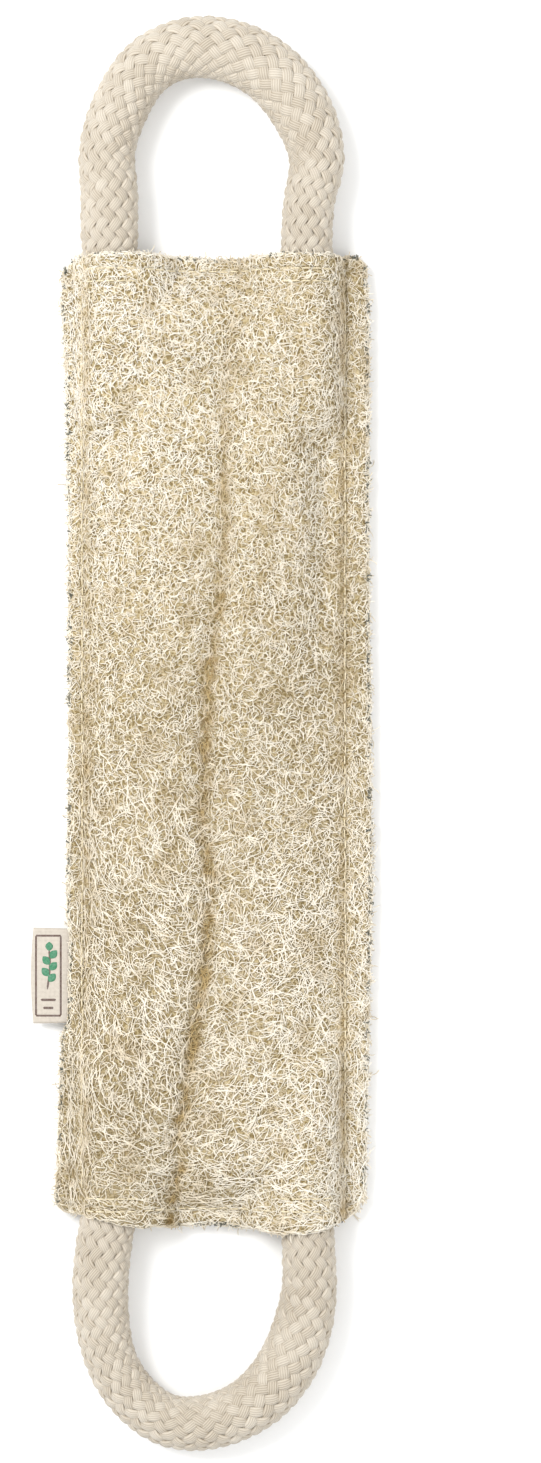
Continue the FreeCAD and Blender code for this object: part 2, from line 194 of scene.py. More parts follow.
class Material:
    """A Principled material with short calls for its nodes."""

    def __init__(self, name, roughness):
        self.data = bpy.data.materials.new(name)
        self.data.use_nodes = True
        self.nodes = self.data.node_tree.nodes
        self.links = self.data.node_tree.links
        self.shader = self.nodes["Principled BSDF"]
        self.feed(self.shader, {"Roughness": roughness})
        self.place = self.add("ShaderNodeTexCoord").outputs["Object"]

    def feed(self, node, inputs):
        """Give a node's inputs a value each, or another node's output."""
        for key, value in inputs.items():
            if isinstance(value, bpy.types.NodeSocket):
                self.links.new(value, node.inputs[key])
            else:
                node.inputs[key].default_value = value

    def add(self, kind, inputs=None, **settings):
        node = self.nodes.new(kind)
        for key, value in settings.items():
            setattr(node, key, value)
        self.feed(node, inputs or {})
        return node

    def noise(self, scale, detail, stretch=None):
        """Noise with features about 1/scale metres wide."""
        place = self.place
        if stretch:
            place = self.add("ShaderNodeMapping",
                             {"Scale": stretch, "Vector": place}).outputs["Vector"]
        return self.add("ShaderNodeTexNoise", {"Vector": place, "Scale": scale, "Detail": detail,
                                               "Roughness": 0.55}).outputs["Fac"]

    def webbing(self, scale):
        """The distance from the walls of small closed cells."""
        return self.add("ShaderNodeTexVoronoi", {"Vector": self.place, "Scale": scale},
                        feature="DISTANCE_TO_EDGE").outputs["Distance"]

    def attribute(self, name):
        return self.add("ShaderNodeAttribute", attribute_name=name).outputs["Fac"]

    def maths(self, operation, first, second=0.0):
        return self.add("ShaderNodeMath", {0: first, 1: second}, operation=operation).outputs[0]

    def times(self, value, factor):
        return self.maths("MULTIPLY", value, factor)

    def total(self, first, *others):
        for other in others:
            first = self.maths("ADD", first, other)
        return first

    def wave(self, value, rate, operation="SINE"):
        return self.maths(operation, self.times(value, rate))

    def fit(self, value, low, high, new_low=0.0, new_high=1.0):
        """The value moved from one range to another, and kept inside it."""
        return self.add("ShaderNodeMapRange",
                        {"Value": value, "From Min": low, "From Max": high, "To Min": new_low,
                         "To Max": new_high}, clamp=True).outputs["Result"]

    def ramp(self, value, stops):
        """Colours at places along 0 to 1."""
        node = self.add("ShaderNodeValToRGB", {"Fac": value})
        elements = node.color_ramp.elements
        while len(elements) < len(stops):
            elements.new(0.5)
        for element, (place, colour) in zip(elements, stops):
            element.position = place
            element.color = (*colour, 1.0)
        return node.outputs["Color"]

    def mix(self, share, first, second, blend="MIX"):
        """Two colours mixed: the node's inputs 0, 6 and 7 are its share and its colours."""
        first, second = [(*value, 1.0) if isinstance(value, tuple) else value
                         for value in (first, second)]
        return self.add("ShaderNodeMix", {0: share, 6: first, 7: second}, data_type="RGBA",
                        blend_type=blend).outputs[2]

    def finish(self, colour, height=None, depth=None, strength=None):
        """Set the colour, and a bump that is depth metres high at a height of 1."""
        self.feed(self.shader, {"Base Color": colour})
        if height is not None:
            bump = self.add("ShaderNodeBump", {"Distance": depth, "Strength": strength,
                                               "Height": height})
            self.feed(self.shader, {"Normal": bump.outputs["Normal"]})
        return self.data


def fibre_material(name, dark, middle, pale):
    """Dry loofah fibre: each fibre has its own tint, and patches are browner or paler. A lower
    tint also serves as painted shade on fibres lying deeper.
    """
    mat = Material(name, 0.72)
    patches = mat.fit(mat.noise(45.0, 2.0), 0.3, 0.7, -0.06, 0.06)
    colour = mat.ramp(mat.total(mat.attribute("tint"), patches),
                      [(0.0, dark), (0.45, middle), (1.0, pale)])
    # Brown is multiplied in where the stain attribute is high: real stains on the seams, and on
    # the crease partly painted shade of the fold.
    stained = mat.mix(1.0, colour, (0.62, 0.50, 0.28), "MULTIPLY")
    colour = mat.mix(mat.attribute("stain"), colour, stained)
    return mat.finish(colour, mat.noise(2600.0, 2.0), 0.06 * MM, 0.6)


def mat_core_material():
    """The inside of the loofah mat, seen between the fibres on top: darker partly in its own
    browner tone and partly as painted shade of the fibres over it, darkest in the hollows of its
    small cells.
    """
    mat = Material("loofah_inside_painted_shade", 0.9)
    # Cell hollows are coloured darker than their walls: painted shade.
    share = mat.total(mat.times(mat.fit(mat.webbing(620.0), 0.02, 0.22), -0.7),
                      mat.fit(mat.noise(1500.0, 3.0), 0.3, 0.7, 0.35, 1.1),
                      mat.fit(mat.noise(60.0, 2.0), 0.3, 0.7, -0.15, 0.15))
    colour = mat.ramp(share, [(0.0, (0.22, 0.16, 0.065)), (0.5, (0.45, 0.36, 0.19)),
                              (1.0, (0.72, 0.61, 0.42))])
    return mat.finish(colour, share, 0.5 * MM, 0.8)


def rope_material(name, dark, middle, pale):
    """Plump flat cotton strands, each of five fine yarns side by side, coloured darker between
    the yarns and at the strand edges as painted shade.
    """
    mat = Material(name, 0.82)
    mat.feed(mat.shader, {"Sheen Weight": 0.25, "Sheen Roughness": 0.5})
    yarns = mat.wave(mat.attribute("across"), 5 * math.pi, "COSINE")
    # Darker between the yarns and at each strand's edges: painted shade in the grooves; the
    # noise and tint are the cotton's own tone.
    value = mat.total(mat.fit(yarns, -1.0, 0.2, 0.25, 0.72),
                      mat.fit(mat.noise(70.0, 2.0), 0.3, 0.7, -0.1, 0.1),
                      mat.fit(mat.attribute("tint"), 0.0, 1.0, -0.12, 0.2))
    colour = mat.ramp(value, [(0.0, dark), (0.5, middle), (1.0, pale)])
    fluff = mat.times(mat.noise(1800.0, 3.0), 0.5)
    return mat.finish(colour, mat.total(mat.fit(yarns, -1.0, 1.0), fluff), 0.22 * MM, 0.7)


def thread_material():
    mat = Material("sewing_thread", 0.7)
    twist = mat.noise(3000.0, 1.0, stretch=(1.0, 0.4, 1.0))
    colour = mat.ramp(twist, [(0.3, (0.50, 0.41, 0.25)), (0.7, (0.80, 0.71, 0.52))])
    return mat.finish(colour, twist, 0.1 * MM, 0.6)


def canvas_material(name, dark, pale):
    """Fine cotton twill: two crossed sets of yarns with a diagonal rib, coloured darker in the
    weave's hollows as painted shade.
    """
    mat = Material(name, 0.85)
    x, y, _ = mat.add("ShaderNodeSeparateXYZ", {0: mat.place}).outputs
    pitch = 2 * math.pi / (0.42 * MM)
    weave = mat.total(*[mat.wave(way, pitch) for way in (x, y, mat.total(x, y))])
    slubs = mat.times(mat.noise(900.0, 3.0), 0.7)
    height = mat.total(mat.fit(weave, -2.0, 2.0), slubs)
    # Colour follows the height: the weave's hollows are painted shade, the slubs an uneven tone.
    colour = mat.ramp(height, [(0.25, dark), (1.05, pale)])
    return mat.finish(colour, height, 0.14 * MM, 0.6)


def print_material(name, colour):
    """Ink or floss on the label, broken up a little by the weave."""
    mat = Material(name, 0.8)
    worn = mat.fit(mat.noise(1400.0, 2.0), 0.3, 0.75)
    pale = tuple(0.6 * value + 0.28 for value in colour)
    return mat.finish(mat.mix(mat.times(worn, 0.35), colour, pale), worn, 0.05 * MM, 0.4)


FIBRE_TOP = fibre_material("loofah_fibre_top", (0.67, 0.58, 0.425), (0.87, 0.80, 0.67),
                           (0.94, 0.895, 0.805))
# The deep layer's material is a darker copy of the top one: painted shade of the fibres lying
# over it.
FIBRE_DEEP_SHADED = fibre_material("loofah_fibre_deep_painted_shade", (0.42, 0.335, 0.19), (0.66, 0.56, 0.38),
                            (0.82, 0.73, 0.56))
MAT_INSIDE_SHADED = mat_core_material()
# Near-black fibre material for specks round the rim: painted shadow, not the loofah's colour.
FIBRE_PAINTED_SHADOW = fibre_material("loofah_painted_shadow_specks", (0.075, 0.085, 0.07), (0.24, 0.23, 0.18),
                           (0.66, 0.60, 0.47))
COTTON = rope_material("braided_cotton", (0.28, 0.225, 0.155), (0.475, 0.415, 0.33),
                       (0.585, 0.53, 0.445))
# The filler is coloured much darker than the braid: painted shade in the gaps between the
# strands.
COTTON_CORE_SHADED = rope_material("rope_filler", (0.16, 0.12, 0.07), (0.30, 0.23, 0.15),
                            (0.42, 0.34, 0.24))
THREAD = thread_material()
CANVAS = canvas_material("label_canvas", (0.34, 0.295, 0.24), (0.57, 0.515, 0.445))


# ---- camera, light and floor -------------------------------------------------------------

VIEW_LONG = 470.4 * MM
VIEW_CENTRE = (16.7 * MM, 2.7 * MM, 12.0 * MM)
LENS = 135.0
SENSOR = 36.0
FLOOR_REACH = 3000.0


def make_camera():
    camera = bpy.data.cameras.new("camera")
    camera.lens = LENS
    camera.sensor_width = SENSOR
    camera.clip_end = 20.0
    holder = new_object("camera", camera)
    holder.location = Vector(VIEW_CENTRE) + Vector((0, 0, LENS / SENSOR * VIEW_LONG))
    bpy.context.scene.camera = holder


def make_light(name, place, size, power):
    """A round lamp that shines at the origin."""
    light = bpy.data.lights.new(name, "AREA")
    light.shape = "DISK"
    light.size = size
    light.energy = power
    lamp = new_object(name, light)
    lamp.location = place
    lamp.rotation_euler = (-Vector(place)).to_track_quat("-Z", "Y").to_euler()


def make_stage():
    floor_mat = Material("studio_floor", 0.9)
    shade = floor_mat.noise(3.0, 1.0)
    floor_mat.finish(floor_mat.ramp(shade, [(0.3, (0.90, 0.90, 0.895)),
                                            (0.7, (0.92, 0.92, 0.915))]))
    corners = [(FLOOR_REACH * x, FLOOR_REACH * y, 0)
               for x, y in ((-1, -1), (1, -1), (1, 1), (-1, 1))]
    floor = new_object("floor", new_mesh("floor", corners, [[0, 1, 2, 3]]), floor_mat.data)
    world = bpy.context.scene.world or bpy.data.worlds.new("studio")
    bpy.context.scene.world = world
    world.use_nodes = True
    background = world.node_tree.nodes["Background"]
    background.inputs["Color"].default_value = (0.98, 0.99, 1.0, 1.0)
    background.inputs["Strength"].default_value = 1.03
    make_light("key", (-0.75, 0.5, 1.3), 0.7, 18.5)
    make_light("fill", (1.0, -0.3, 1.5), 1.4, 7.5)


make_camera()
make_stage()
bpy.context.scene.view_settings.view_transform = "Standard"


# ---- ropes -------------------------------------------------------------------------------

# Corner points of each rope's centre line, in millimetres. The free loop repeats the
# design's route; the first and last points carry the rope into the pad.
ROPE_ROUTES = {
    "top": [
        (-34.5, 150, 11.6), (-35, 158, 11.7), (-35.2, 166, 12), (-35, 176.5, 11.4),
        (-36.6, 189.5, 10.5), (-32.1, 203.8, 9.8), (-23.8, 217.6, 9.5), (-9.9, 223.8, 9.6),
        (5, 222.2, 9.7), (18, 215, 9.6), (27.8, 201.8, 9.8), (32.6, 187, 10.5),
        (29.2, 175, 11.4), (28.5, 166, 12), (28.3, 158, 11.7), (28.5, 150, 11.6),
    ],
    "bottom": [
        (-34.8, -150, 11.6), (-36.2, -158, 11.7), (-37.4, -166, 12), (-38.2, -176, 11.4),
        (-37.6, -188.5, 10.5), (-34.4, -202, 9.8), (-26.4, -213.2, 9.5), (-15.6, -220.4, 9.5),
        (-1, -219.9, 9.5), (13, -213.2, 9.6), (22.7, -201.2, 9.8), (27.6, -187.8, 10.5),
        (29.5, -175.5, 11.4), (29, -166, 12), (28.8, -158, 11.7), (28.5, -150, 11.6),
    ],
}
# The rope's width in millimetres at even steps along it, from left to right: it bulges
# where it bends and is pulled thin in the right leg.
ROPE_WIDTHS = {
    "top": [18.0, 19.0, 19.0, 18.5, 19.0, 19.0, 19.5, 20.5, 21.0, 21.0, 20.5, 18.5, 17.0,
            17.0, 17.5],
    "bottom": [18.0, 18.5, 18.5, 18.0, 17.0, 17.0, 17.0, 18.0, 18.5, 19.5, 20.0, 19.5, 18.0,
               17.5, 17.5],
}
# Its height: it is squeezed flatter where the pad is sewn over it.
ROPE_HEIGHTS = [14.0, 16.4] + [18.0] * 11 + [16.4, 14.0]
# Each rope's length: 173 and 165 mm from one edge of the pad round to the other, and 5 mm
# more at each end inside the pad.
ROPE_STEP = 0.62
# Its braid: how many strands turn each way, how far one goes along the rope in a full turn,
# how high it passes over the others, and its own half thickness and outline.
STRANDS_EACH_WAY = 12
STRAND_LAY = 73.0
STRAND_LIFT = 0.72
STRAND_HALF_THICK = 0.92
STRAND_CORNERS = 12
CORE_CORNERS = 20


def spline_points(route, step):
    """Evenly spaced points, in millimetres, read from the route's NURBS spline."""
    curve = bpy.data.curves.new("route", "CURVE")
    curve.dimensions = "3D"
    curve.resolution_u = 48
    spline = curve.splines.new("NURBS")
    spline.points.add(len(route) - 1)
    for point, place in zip(spline.points, route):
        point.co = (*[value * MM for value in place], 1.0)
    spline.order_u = 3
    spline.use_endpoint_u = True
    holder = bpy.data.objects.new("route", curve)
    mesh = bpy.data.meshes.new_from_object(holder)
    line = np.array([vertex.co for vertex in mesh.vertices]) / MM
    bpy.data.objects.remove(holder)
    bpy.data.curves.remove(curve)
    bpy.data.meshes.remove(mesh)
    lengths = np.concatenate([[0], np.cumsum(np.linalg.norm(np.diff(line, axis=0), axis=1))])
    count = int(round(lengths[-1] / step)) + 1
    places = np.linspace(0, lengths[-1], count)
    return np.stack([np.interp(places, lengths, line[:, i]) for i in range(3)], 1), places


def braid_strand(centre, outward, half_wide):
    """Rings of a flat, plump strand along a line, and each point's place across it."""
    heading = unit(np.gradient(centre, axis=0))
    sideways = unit(np.cross(heading, outward))
    outward = np.cross(sideways, heading)
    phi = corner_angles(STRAND_CORNERS)
    flat = np.sign(np.cos(phi)) * np.abs(np.cos(phi)) ** 0.85
    ring = (centre[:, None]
            + sideways[:, None] * (half_wide[:, None] * flat)[..., None]
            + outward[:, None] * (STRAND_HALF_THICK * np.sin(phi))[None, :, None])
    return ring, np.broadcast_to(flat, ring.shape[:2])


def rope_tubes(name, rings, across, tint, mat):
    """Tubes with flat ends, as a piece of a rope."""
    ends = np.stack([rings[:, 0].mean(1), rings[:, -1].mean(1)], 1)
    across = np.pad(across.reshape(len(rings), -1), ((0, 0), (0, 2)), mode="edge")
    return new_object(name, ring_tubes(name, rings, ends, across=across, tint=tint), mat)


def make_rope(end):
    """A one-over-one braid of flat strands round a filler core, on one smooth line."""
    line, run = spline_points(ROPE_ROUTES[end], ROPE_STEP)
    along = unit(np.gradient(line, axis=0))
    side = unit(np.cross(along, [0, 0, 1.0]))
    upward = np.cross(side, along)
    width, height = [np.interp(run, np.linspace(0, run[-1], len(sizes)), sizes)
                     for sizes in (ROPE_WIDTHS[end], ROPE_HEIGHTS)]
    inset = STRAND_LIFT + STRAND_HALF_THICK
    half_wide = width / 2 - inset
    half_high = np.minimum(height, width) / 2 - inset
    turn = 2 * math.pi * run / STRAND_LAY
    lean = math.cos(math.atan(2 * math.pi * half_wide.mean() / STRAND_LAY))
    half_strand = 1.05 * math.pi * (half_wide + half_high) / 2 / STRANDS_EACH_WAY * lean
    strands, across = [], []
    for way in (1, -1):
        lift = way * STRAND_LIFT * np.cos(STRANDS_EACH_WAY * turn)
        for start_angle in corner_angles(STRANDS_EACH_WAY):
            angle = start_angle + way * turn
            centre = ellipses(line, side, upward, half_wide + lift, half_high + lift, angle)
            outward = unit(side * (np.cos(angle) / half_wide)[:, None]
                           + upward * (np.sin(angle) / half_high)[:, None])
            ring, places = braid_strand(centre, outward, half_strand)
            strands.append(ring)
            across.append(places)
    braid = rope_tubes(f"{end}_rope_braid", np.array(strands), np.array(across),
                       rng.random((len(strands), 1)), COTTON)

    spin = corner_angles(CORE_CORNERS)
    core_rings = ellipses(line[::2, None], side[::2, None], upward[::2, None],
                          half_wide[::2, None] - 0.5, half_high[::2, None] - 0.5, spin)
    core = rope_tubes(f"{end}_rope_filler", core_rings[None],
                      np.tile(np.sin(3 * spin), len(core_rings)), 0.5, COTTON_CORE_SHADED)

    for piece, layer in ((braid, "sheath"), (core, "core")):
        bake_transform(piece)
        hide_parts(f"{end}_rope_{layer}", f"{end}_left_tail_{layer}",
                    f"{end}_right_tail_{layer}")


for end_name in ENDS:
    make_rope(end_name)


# ---- shape of the pad --------------------------------------------------------------------

# The cut edges wander: (y, x) down the left and right sides, (x, y) along the two ends.
LEFT_EDGE = [(155, -49.5), (142, -50.5), (118, -49), (70, -48), (0, -48), (-57, -48.6),
             (-61, -47.8), (-91, -48.2), (-95, -50.2), (-134, -51.5), (-152, -52.5)]
RIGHT_EDGE = [(155, 47), (140, 48), (50, 48), (0, 48.5), (-50, 49), (-90, 48), (-134, 47),
              (-150, 46.5)]
TOP_EDGE = [(-48, 154), (-40, 155.5), (-20, 155.5), (0, 154.5), (20, 155.5), (48, 155)]
BOTTOM_EDGE = [(-52, -151), (-44, -152), (-24, -156), (0, -156), (26, -158), (36, -156),
               (48, -150)]
# The crease down the middle of the front, and the height of the front across it, from the
# left edge to the right: at the top the right roll is steep, lower down it is gentle.
CREASE = [(-155, -16), (-125, -12.5), (-90, -7), (-60, -3), (-18, -5.5), (20, -3.5), (50, 0.5),
          (110, 2), (155, 7)]
UPPER_CROSS = [(-52, 7.4), (-45.4, 7.5), (-44, 7.3), (-42.4, 8.6), (-40, 11.6), (-36, 15.4),
               (-31, 18.0), (-25, 19.2), (-16, 18.8), (-8, 17.2), (-2, 15.2), (0, 14.8),
               (3, 16.0), (9, 18.8), (15, 20.2), (20, 20.2), (24, 18.6), (27.5, 15.2),
               (30.5, 11.4), (33, 9.2), (35, 9.0), (38, 9.6), (40, 8.4), (44, 7.8), (52, 7.4)]
LOWER_CROSS = [(-52, 7.4), (-45.4, 7.5), (-44, 7.3), (-42.4, 8.4), (-40, 10.8), (-36, 14.2),
               (-30, 17.0), (-24, 18.4), (-16, 18.4), (-8, 16.6), (-2, 13.8), (0, 13.2),
               (3, 14.8), (9, 18.0), (15, 19.2), (21, 18.4), (27, 16.4), (32, 14.0),
               (36, 11.8), (39.5, 9.8), (42.5, 8.4), (46, 7.6), (52, 7.4)]
# In those tables the crease is at 0, and the seams are this far to its left and right.
LEFT_SPAN, RIGHT_SPAN = 44.0, 40.7
MARGIN_TOP = 7.4
FRONT_BASE = BACK_TOP + 0.1
# The hump over each rope tail: its height, its reach towards the rim and towards the
# middle, and how far from the pad's middle it begins.
HUMP_TOP = 20.6
HUMP_OUT, HUMP_IN = 12.0, 21.0
HUMP_START = 88
CORNER = 3.5
STITCH = 3.4


def lookup(points):
    """Straight lines between given points."""
    knots = np.array(sorted(points), float)
    return lambda value: np.interp(value, knots[:, 0], knots[:, 1])


def smooth_lookup(points, spread):
    """Given points joined and then softened over `spread` millimetres."""
    knots = np.array(sorted(points), float)
    places = np.arange(knots[0, 0] - 8, knots[-1, 0] + 8, 0.25)
    reach = np.arange(-16 * spread, 16 * spread + 1) * 0.25
    weight = np.exp(-(reach / spread) ** 2 / 2)
    values = np.interp(places, knots[:, 0], knots[:, 1])
    values = np.convolve(np.pad(values, len(reach) // 2, mode="edge"),
                         weight / weight.sum(), mode="valid")[:len(places)]
    return lambda value: np.interp(value, places, values)


LEFT_OF, RIGHT_OF = lookup(LEFT_EDGE), lookup(RIGHT_EDGE)
TOP_OF, BOTTOM_OF = lookup(TOP_EDGE), lookup(BOTTOM_EDGE)
CREASE_OF = smooth_lookup(CREASE, 5.0)
UPPER_OF, LOWER_OF = smooth_lookup(UPPER_CROSS, 1.0), smooth_lookup(LOWER_CROSS, 1.0)


def crease_at(y):
    """Where the crease runs at each height, with a little wander."""
    return CREASE_OF(y) + 0.9 * waves(0 * y, y, 14, 51)


def waves(x, y, size, seed):
    """Soft lumps about `size` millimetres apart, from -1 to 1."""
    source = np.random.default_rng(seed)
    total = np.zeros_like(x, float)
    for turn, phase, stretch in source.random((9, 3)):
        rate = 2 * math.pi / (size * (0.6 + 1.1 * stretch))
        total += np.sin(rate * (x * math.cos(math.pi * turn) + y * math.sin(math.pi * turn))
                        + 2 * math.pi * phase)
    return total / 4.5


def front_height(x, y):
    """The front of the pad above the plane it rests on, before the sewing pulls it in."""
    crease = crease_at(y)
    bent = np.where(x < crease, ((x - SEAM_X[0]) / (crease - SEAM_X[0]) - 1) * LEFT_SPAN,
                    (x - crease) / (SEAM_X[1] - crease) * RIGHT_SPAN)
    upper = smooth_step((y + 10) / 70)
    crown = UPPER_OF(bent) * upper + LOWER_OF(bent) * (1 - upper)
    end = np.abs(y)
    fill = smooth_step((END_SEAM_Y - end) / 18) ** 0.6
    crown = MARGIN_TOP + (crown - MARGIN_TOP) * fill
    inside = np.clip((crown - MARGIN_TOP) / 8, 0, 1)
    crown = crown + inside * (0.5 * waves(x, y, 28, 3) + 0.18 * waves(x, y, 12, 4))
    tallest = crown
    near_end = smooth_step((end - HUMP_START) / 20)
    for centre in TAIL_X:
        gap = (x - centre) * np.sign(centre)
        away = np.clip(np.where(gap > 0, gap / HUMP_OUT, -gap / HUMP_IN), 0, 1)
        hump = MARGIN_TOP + (HUMP_TOP - MARGIN_TOP) * (1 - away ** 2.3) ** 0.9 * near_end
        high = np.maximum(tallest, hump)
        blend = smooth_step((1 - away) * 4) * near_end
        tallest = high + 0.9 * blend * np.log1p(np.exp(-np.abs(tallest - hump) / 0.9))
    return tallest


def sewing_dip(x, y):
    """How far the seams, the tacks and the middle fold pull the front in."""
    end = np.abs(y)
    pucker = 0.8 + 0.2 * np.cos(2 * math.pi * y / STITCH)
    along = smooth_step((149 - end) / 4)
    dip = 0.8 * pucker * along * sum(np.exp(-((x - seam) / 1.0) ** 2) for seam in SEAM_X)
    dip = dip + 1.1 * np.exp(-((end - END_SEAM_Y) / 1.0) ** 2)
    fold = smooth_step((146 - end) / 12) * (1.1 - 0.8 * smooth_step((y - 10) / 110))
    fold = fold * (0.8 + 0.4 * waves(0 * y, y, 12, 52))
    dip = dip + fold * np.exp(-((x - crease_at(y)) / 2.2) ** 2)
    for centre in TAIL_X:
        near = smooth_step((13 - np.abs(x - centre)) / 4)
        dip = dip + 0.8 * near * np.exp(-((end - END_SEAM_Y + 4.2) / 0.9) ** 2)
    return dip


def rounded(place, half, share, other):
    """A place across or along the pad, pulled in where it is near a corner."""
    pulled = half - CORNER + CORNER * share * np.sqrt(1 - other ** 2 / 2)
    return np.sign(place) * np.where(share > 0, pulled, np.abs(place))


def outline_shift(x, y, extra=0.0):
    """Move a plain rectangle's points so its rim follows the wandering cut edges."""
    corner_x, corner_y = [np.clip((np.abs(place) - half) / CORNER + 1, 0, 1)
                          for place, half in ((x, HALF_X), (y, HALF_Y))]
    side = np.where(x < 0, LEFT_OF(y) + HALF_X - extra, RIGHT_OF(y) - HALF_X + extra)
    side = side + np.sign(x) * (0.35 * waves(x, y, 7, 5) + 0.2 * waves(x, y, 3.5, 6))
    ends = np.where(y < 0, BOTTOM_OF(x) + HALF_Y - extra, TOP_OF(x) - HALF_Y + extra)
    ends = ends + np.sign(y) * (0.35 * waves(x, y, 7, 7) + 0.2 * waves(x, y, 3.5, 8))
    side = side * smooth_step((np.abs(x) - 43) / (HALF_X - 43))
    ends = ends * smooth_step((np.abs(y) - 146) / (HALF_Y - 146))
    return (rounded(x, HALF_X, corner_x, corner_y) + side,
            rounded(y, HALF_Y, corner_y, corner_x) + ends)


def pad_grid(columns, rows):
    return np.meshgrid(np.linspace(-HALF_X, HALF_X, columns),
                       np.linspace(-HALF_Y, HALF_Y, rows))


def slab(name, columns, rows, top_of, bottom_of, extra=0.0):
    """A closed mat: a grid for its top, a grid for its underside and a rim between them."""
    x, y = pad_grid(columns, rows)
    moved = outline_shift(x, y, extra)
    points = [np.stack([*moved, height_of(x, y)], -1).reshape(-1, 3)
              for height_of in (top_of, bottom_of)]
    index = np.arange(columns * rows).reshape(rows, columns)
    top = grid_quads(index)
    rim = np.concatenate([index[0, :-1], index[:-1, -1], index[-1, :0:-1], index[:0:-1, 0]])
    after = np.roll(rim, -1)
    shift = columns * rows
    walls = np.stack([rim, rim + shift, after + shift, after], 1)
    faces = np.concatenate([top, top[:, ::-1] + shift, walls])
    return new_mesh(name, np.concatenate(points), faces)


def edge_round(x, y):
    """From 0 inside to 1 on the rim, over the last millimetre and a half."""
    return smooth_step((np.maximum(np.abs(x) - HALF_X, np.abs(y) - HALF_Y) + 1.5) / 1.5)


def swelling():
    """Let a blank of the front mat puff up as sewn cloth does, and return how far it moved.

    The blank is smaller than the finished mat, held along its seams and underside.
    """
    base = FRONT_BASE + 2.6
    blank = new_object("front_blank", slab(
        "front_blank", 50, 156, lambda x, y: base + 0.9 * (front_height(x, y) - base),
        lambda x, y: FRONT_BASE + 0 * x))
    blank.data.remesh_voxel_size = 4.0 * MM
    bpy.context.view_layer.objects.active = blank
    blank.select_set(True)
    bpy.ops.object.voxel_remesh()
    rest = points_of(blank.data)
    held = ((rest[:, 2] < FRONT_BASE + 2.2) | (rest[:, 0] < SEAM_X[0] + 1)
            | (rest[:, 0] > SEAM_X[1] - 1) | (np.abs(rest[:, 1]) > END_SEAM_Y - 3))
    pins = blank.vertex_groups.new(name="held")
    pins.add([int(i) for i in np.nonzero(held)[0]], 1.0, "REPLACE")
    cloth = blank.modifiers.new("swell", "CLOTH")
    for key, value in dict(vertex_group_mass="held", quality=5, mass=0.25,
                           tension_stiffness=12, compression_stiffness=12, shear_stiffness=5,
                           bending_stiffness=0.6, use_pressure=True,
                           uniform_pressure_force=4).items():
        setattr(cloth.settings, key, value)
    cloth.settings.effector_weights.gravity = 0
    cloth.point_cache.frame_start, cloth.point_cache.frame_end = 1, 20
    scene = bpy.context.scene
    for step in range(1, 21):
        scene.frame_set(step)
    seen = blank.evaluated_get(bpy.context.evaluated_depsgraph_get()).to_mesh()
    shift = points_of(seen) - rest
    blank.modifiers.clear()
    bpy.data.objects.remove(blank)
    scene.frame_set(1)
    top = rest[:, 2] > FRONT_BASE + 1.5
    return rest[top], shift[top]


def spread_swelling(x, y, limit=3.0, reach=4.0):
    """The blank's movement at each point, averaged over `reach` millimetres and capped."""
    rest, shift = swelling()
    flat = np.stack([x.ravel(), y.ravel()], 1)
    total = np.zeros((len(flat), 3))
    for start in range(0, len(flat), 1500):
        part = flat[start:start + 1500]
        gap = ((part[:, None, :] - rest[None, :, :2]) ** 2).sum(-1)
        weight = np.exp(-gap / (2 * (reach / 2) ** 2)) + 1e-12
        total[start:start + 1500] = weight @ shift / weight.sum(1, keepdims=True)
    size = np.linalg.norm(total, axis=1, keepdims=True)
    total *= np.minimum(1, limit / np.maximum(size, 1e-6))
    return total.reshape(x.shape + (3,))


COLUMNS, ROWS = 76, 238


def make_front():
    swell = spread_swelling(*pad_grid(COLUMNS, ROWS))

    def top_of(x, y):
        height = front_height(x, y) + swell[..., 2] - sewing_dip(x, y)
        return height - 1.1 * edge_round(x, y) * (height < MARGIN_TOP + 3)

    def bottom_of(x, y):
        return FRONT_BASE + 0.3 * edge_round(x, y)

    front = pad_piece("front_loofah", slab("front_loofah", COLUMNS, ROWS, top_of, bottom_of),
                      MAT_INSIDE_SHADED, "loofah", "front_loofah_panel")
    return front


def make_back():
    def top_of(x, y):
        return BACK_TOP - 0.2 - 0.9 * edge_round(x, y)

    def bottom_of(x, y):
        seams = sum(np.exp(-((x - seam) / 1.1) ** 2) for seam in SEAM_X)
        seams = seams + np.exp(-((np.abs(y) - END_SEAM_Y) / 1.1) ** 2)
        lumps = 0.3 + 0.12 * waves(x, y, 24, 9) + 0.1 * waves(x, y, 9, 10)
        return 0.25 + lumps + 0.7 * seams + 0.8 * edge_round(x, y)

    mesh = slab("back_loofah", COLUMNS, ROWS, top_of, bottom_of, extra=0.3)
    return pad_piece("back_loofah", mesh, MAT_INSIDE_SHADED, "loofah", "back_loofah_panel")


# ---- loofah fibres -----------------------------------------------------------------------

FIBRE_RINGS = 8
FIBRES_EACH = 5500
DEEP_FIBRES, TOP_FIBRES = 16500, 23500
BACK_FIBRES, RIM_FIBRES = 11000, 9000
HOLES = 3600


def surface_tree(piece):
    return BVHTree.FromPolygons([v.co.copy() / MM for v in piece.data.vertices],
                                [tuple(p.vertices) for p in piece.data.polygons])


def scatter(piece, count, wanted):
    """Random points and normals on a piece, spread by area times the wanted density."""
    corners = np.array([tuple(p.vertices) for p in piece.data.polygons])
    points = points_of(piece.data)[corners]
    normal = np.cross(points[:, 2] - points[:, 0], points[:, 3] - points[:, 1])
    area = np.linalg.norm(normal, axis=1) / 2
    normal = unit(normal)
    share = np.cumsum(area * np.clip(wanted(points.mean(1), normal), 0, None))
    pick = np.searchsorted(share, (np.arange(count) + rng.random(count)) / count * share[-1])
    pick = np.clip(pick, 0, len(share) - 1)
    s, t = rng.random((2, count, 1))
    quad = points[pick]
    spot = ((1 - s) * (1 - t) * quad[:, 0] + s * (1 - t) * quad[:, 1]
            + s * t * quad[:, 2] + (1 - s) * t * quad[:, 3])
    return spot, normal[pick]


